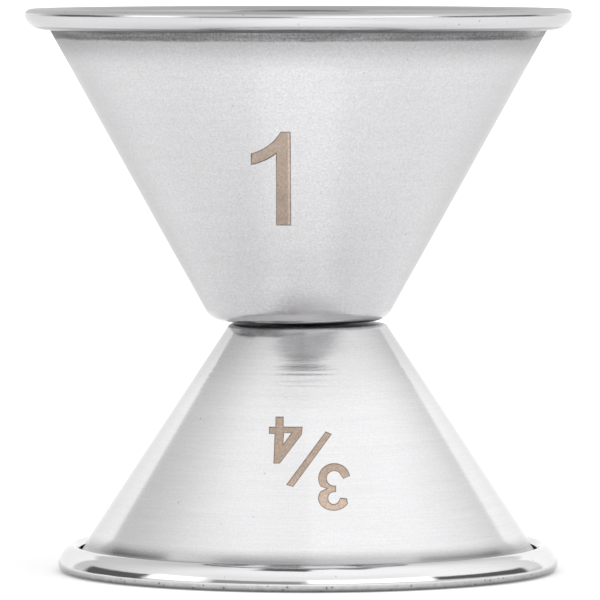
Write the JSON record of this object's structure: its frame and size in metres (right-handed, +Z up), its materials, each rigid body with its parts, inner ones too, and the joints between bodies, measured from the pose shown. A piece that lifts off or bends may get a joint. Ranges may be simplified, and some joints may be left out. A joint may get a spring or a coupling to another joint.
{
  "type": "bar jigger",
  "caption": "Double-ended spirit measure: a larger and a smaller stainless cone cup with curled rims, welded base to base.",
  "frame": {"origin": "on the larger cup's axis, at the level of the surface that the smaller cup's rim stands on", "axes": "+Z up, along both cups' axes and out of the larger cup's mouth; +X towards the side to which the smaller cup is welded off centre"},
  "size_m": [0.0568, 0.0568, 0.0584],
  "materials": {
    "satin_steel": "satin brushed outside wall, polished curled rim, laser-etched measure numeral",
    "brushed_steel": "fine lines brushed around the wall, polished curled rim, laser-etched measure numeral",
    "weld_steel": "as-welded, slightly heat tinted"
  },
  "bodies": {
    "root": {"upper_cup": "satin_steel", "lower_cup": "brushed_steel", "spot_weld": "weld_steel"}
  },
  "joints": []
}
